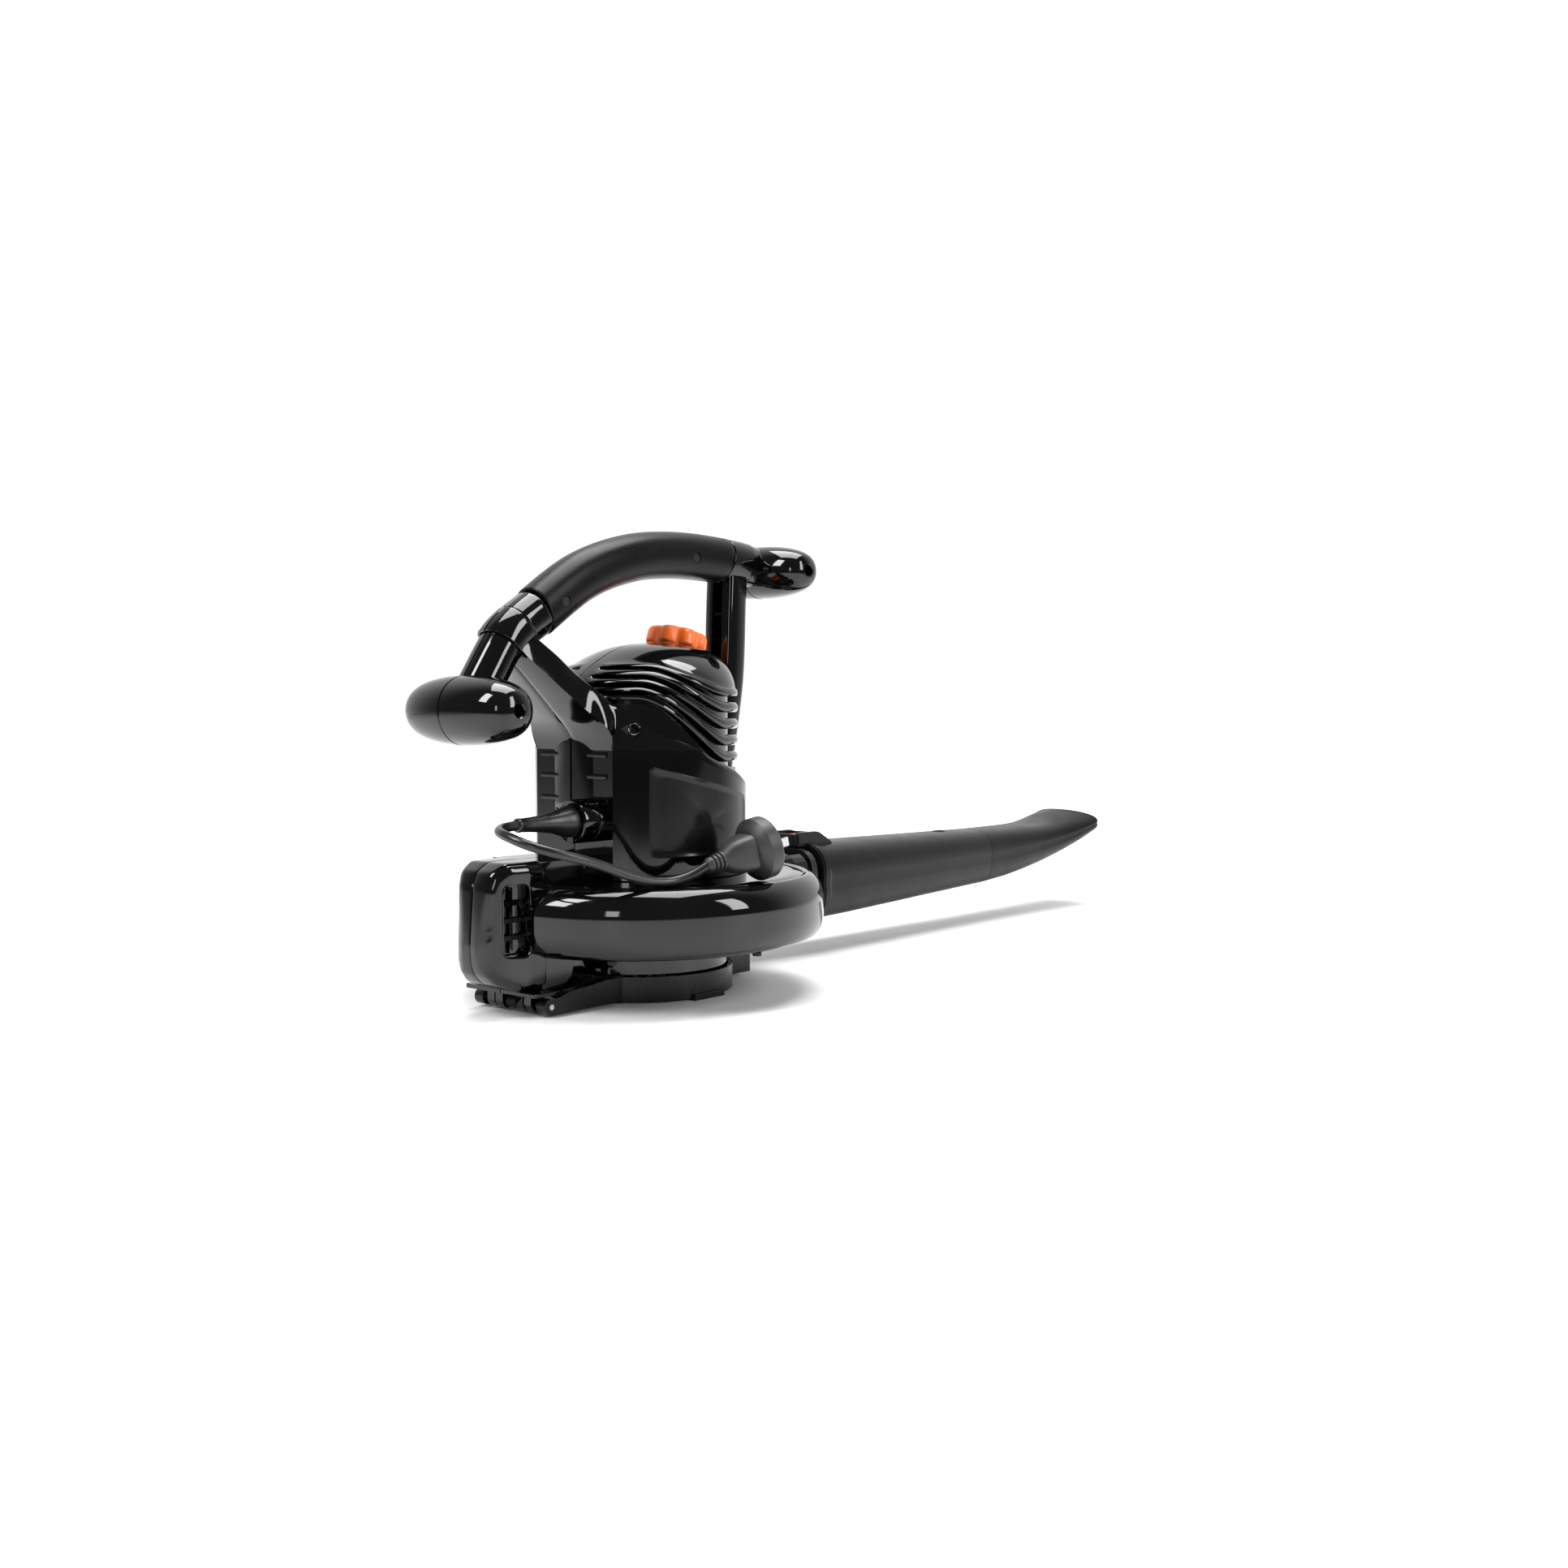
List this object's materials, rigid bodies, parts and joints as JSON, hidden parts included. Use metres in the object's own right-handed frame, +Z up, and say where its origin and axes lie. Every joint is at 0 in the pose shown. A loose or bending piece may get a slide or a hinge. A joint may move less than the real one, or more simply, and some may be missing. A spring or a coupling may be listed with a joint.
{
  "type": "leaf blower",
  "caption": "Corded leaf blower with a flat fan casing, hinged intake cover, vented motor dome with speed knob, arched handle with two T-bars and a two-piece blower tube.",
  "frame": {"origin": "on the motor's axis, at the flat hub of the intake cover that rests on the floor", "axes": "+X forward along the blower tube, +Y to the left, +Z up along the motor's axis"},
  "size_m": [0.8855, 0.2799, 0.3538],
  "materials": {
    "gloss_black": "glossy moulded black plastic",
    "soft_grip": "matte soft-touch overmould",
    "tube_plastic": "fine-grained matte dark grey plastic",
    "cover_plastic": "satin black plastic",
    "orange_plastic": "bright orange moulded plastic",
    "cord_rubber": "black flexible jacket",
    "plug_plastic": "grey-black moulded plug plastic",
    "label": "plain dark panel, no print",
    "zinc": "zinc-plated steel",
    "steel": "bright steel",
    "laminations": "stacked steel laminations",
    "copper": "enamelled copper",
    "bracket": "die-cast aluminium",
    "carbon": "pressed carbon",
    "board": "green circuit board",
    "brown_plastic": "brown thermoset",
    "white_plastic": "natural white plastic"
  },
  "bodies": {
    "casing": {"housing_left": "gloss_black", "housing_right": "gloss_black", "vent_cap_left": "gloss_black", "vent_cap_right": "gloss_black", "handle_left": "gloss_black", "handle_right": "gloss_black", "grip_left": "soft_grip", "grip_right": "soft_grip", "front_strut_left": "gloss_black", "front_strut_right": "gloss_black", "volute_upper": "gloss_black", "volute_lower": "gloss_black", "hinge_frame_left": "gloss_black", "hinge_frame_right": "gloss_black", "outlet_gasket": "cord_rubber", "stator_core": "laminations", "field_coils": "copper", "brush_holders": "brown_plastic", "carbon_brushes": "carbon", "upper_bearing": "steel", "lower_bearing": "steel", "upper_bracket": "bracket", "motor_bracket": "bracket", "switch_body": "cover_plastic", "capacitor": "brown_plastic", "control_board": "board", "internal_leads": "cord_rubber", "cord_collar": "gloss_black", "strain_relief": "cord_rubber", "cord_clamp": "cover_plastic", "cord": "cord_rubber", "plug_body": "plug_plastic", "plug_flange": "plug_plastic", "plug_blades": "steel", "hinge_pin": "steel", "hinge_spring": "zinc", "interlock_switch": "white_plastic", "housing_screws": "zinc", "handle_screws": "zinc", "casing_screws": "zinc", "frame_screws": "zinc", "label_plate": "label"},
    "rotor": {"motor_shaft": "steel", "armature_core": "laminations", "armature_windings": "copper", "commutator": "copper", "cooling_fan": "cover_plastic", "impeller": "cover_plastic", "impeller_nut": "zinc"},
    "knob": {"speed_knob": "orange_plastic", "knob_spindle": "steel"},
    "cover": {"intake_cover": "cover_plastic", "latch_spring": "zinc"},
    "latch": {"cover_latch": "cover_plastic"},
    "tube": {"blower_tube": "tube_plastic", "button_spring": "zinc"},
    "button": {"tube_button": "orange_plastic"},
    "nozzle": {"nozzle": "tube_plastic"},
    "plunger": {"interlock_plunger": "white_plastic"}
  },
  "joints": [
    {"name": "rotor_spin", "type": "hinge", "parent": "casing", "child": "rotor", "pos_m": [0, 0, 0.1], "axis": [0, 0, 1], "continuous": true},
    {"name": "knob_turn", "type": "hinge", "parent": "casing", "child": "knob", "pos_m": [0.038, 0, 0.2625], "axis": [0.2588, 0, 0.9659], "range_deg": [0, 270]},
    {"name": "intake_cover", "type": "hinge", "parent": "casing", "child": "cover", "pos_m": [-0.128, 0, 0.0075], "axis": [0, 1, 0], "range_deg": [0, 100]},
    {"name": "cover_latch", "type": "slide", "parent": "cover", "child": "latch", "axis": [-1, 0, 0], "range_m": [0, 0.003], "stiffness_N_per_m": 800},
    {"name": "blower_tube", "type": "slide", "parent": "casing", "child": "tube", "axis": [1, 0, 0], "range_m": [0, 0.06]},
    {"name": "tube_button", "type": "slide", "parent": "tube", "child": "button", "axis": [0, 0, -1], "range_m": [0, 0.003], "stiffness_N_per_m": 600},
    {"name": "nozzle", "type": "slide", "parent": "tube", "child": "nozzle", "axis": [1, 0, 0], "range_m": [0, 0.03]},
    {"name": "interlock_plunger", "type": "slide", "parent": "casing", "child": "plunger", "axis": [0, 0, 1], "range_m": [0, 0.0015], "stiffness_N_per_m": 300}
  ]
}
